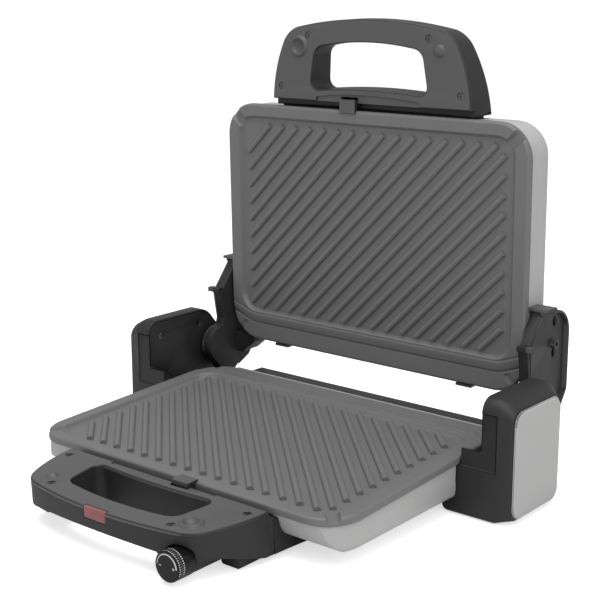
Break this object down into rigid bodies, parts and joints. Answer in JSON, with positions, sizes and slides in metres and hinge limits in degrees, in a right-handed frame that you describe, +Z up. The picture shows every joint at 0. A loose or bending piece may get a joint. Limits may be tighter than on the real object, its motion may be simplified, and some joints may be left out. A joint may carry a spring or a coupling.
{
  "type": "sandwich maker",
  "caption": "Open sandwich maker: ribbed grill plates between silver shells, loop handles, hinge towers beside the base, temperature knob in front.",
  "frame": {"origin": "on the table, under the middle of the open appliance's footprint", "axes": "+X to the right across the appliance, +Y to the back, where the hinge is, +Z up; the handles and the knob face -Y"},
  "size_m": [0.45, 0.403, 0.4044],
  "materials": {
    "plate": "dark non-stick coating",
    "silver": "satin silver paint",
    "dark_plastic": "fine matt grain",
    "grip_plastic": "satin",
    "knob": "glossy",
    "lens": "clear red",
    "lamp": "clear",
    "steel": "brushed",
    "heater": "oxidised sheath",
    "reflector": "bright rolled sheet",
    "rubber": "matt",
    "ceramic": "plain",
    "frame_steel": "black"
  },
  "bodies": {
    "base": {"base_shell": "silver", "base_bottom_cover": "dark_plastic", "base_screws": "steel", "rear_housing": "dark_plastic", "cord_gland": "rubber", "terminal_block": "ceramic", "rubber_feet": "rubber", "lower_handle_shell": "dark_plastic", "lower_handle_face": "grip_plastic", "lower_handle_screws": "steel", "indicator_lens": "lens", "indicator_lamp": "lamp", "thermostat": "ceramic", "lower_plate": "plate", "lower_heating_element": "heater", "lower_reflector": "reflector", "lower_thermal_fuse": "steel", "lower_latch_spring": "steel", "tower_shell_right": "dark_plastic", "tower_shell_left": "dark_plastic", "tower_inner_cover_right": "grip_plastic", "tower_inner_cover_left": "grip_plastic", "tower_bottom_plate_right": "dark_plastic", "tower_bottom_plate_left": "dark_plastic", "tower_side_panel_right": "silver", "tower_side_panel_left": "silver", "tower_screws": "steel", "hinge_pin_right": "steel", "hinge_pin_left": "steel"},
    "lid": {"lid_shell": "silver", "lid_frame": "frame_steel", "upper_plate": "plate", "upper_heating_element": "heater", "upper_reflector": "reflector", "upper_thermal_fuse": "steel", "upper_handle_shell": "dark_plastic", "upper_handle_face": "grip_plastic", "upper_handle_screws": "steel", "upper_latch_spring": "steel", "lid_arm_right": "dark_plastic", "lid_arm_left": "dark_plastic", "lid_arm_cover_right": "grip_plastic", "lid_arm_cover_left": "grip_plastic", "lid_arm_screws": "steel"},
    "knob": {"temperature_knob": "knob", "knob_shaft": "steel"},
    "lower_catch": {"lower_latch": "grip_plastic"},
    "upper_catch": {"upper_latch": "grip_plastic"}
  },
  "joints": [
    {"name": "lid_hinge", "type": "hinge", "parent": "base", "child": "lid", "pos_m": [0, 0.15125, 0.0542], "axis": [1, 0, 0], "range_deg": [0, 91.34]},
    {"name": "temperature_knob", "type": "hinge", "parent": "base", "child": "knob", "pos_m": [0.082, -0.18255, 0.0162], "axis": [0, 1, 0], "range_deg": [-135, 135]},
    {"name": "lower_latch", "type": "slide", "parent": "base", "child": "lower_catch", "axis": [0, -0.999, -0.045], "range_m": [0, 0.003], "stiffness_N_per_m": 500, "deforming": ["lower_latch_spring"]},
    {"name": "upper_latch", "type": "slide", "parent": "lid", "child": "upper_catch", "axis": [0, -0.0216, 0.9998], "range_m": [0, 0.003], "stiffness_N_per_m": 500, "deforming": ["upper_latch_spring"]}
  ]
}
